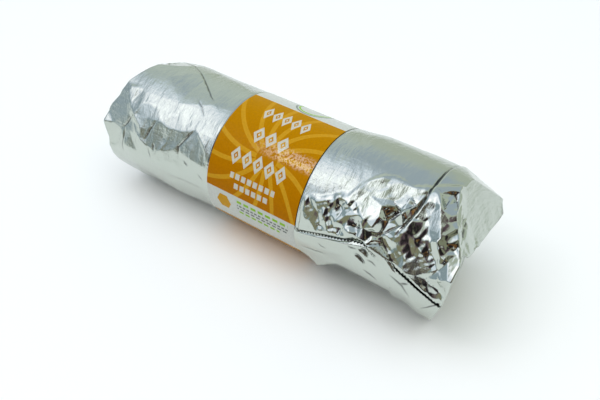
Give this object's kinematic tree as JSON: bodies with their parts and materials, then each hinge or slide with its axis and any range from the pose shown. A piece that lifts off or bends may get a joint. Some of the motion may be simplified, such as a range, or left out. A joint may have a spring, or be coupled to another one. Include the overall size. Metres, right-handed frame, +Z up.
{
  "type": "migas taco",
  "caption": "Rolled taco shut in crumpled aluminium foil, with a plain printed paper band round its middle, lying on its side.",
  "frame": {"origin": "on the floor, under the middle of the roll's outer box", "axes": "+X along the roll towards its crumpled end, -Y towards the crumpled front, +Z up"},
  "size_m": [0.1412, 0.0474, 0.0468],
  "materials": {
    "foil": "bright",
    "paper": "satin"
  },
  "bodies": {
    "root": {"foil_wrap": "foil", "paper_band": "paper"}
  },
  "joints": []
}
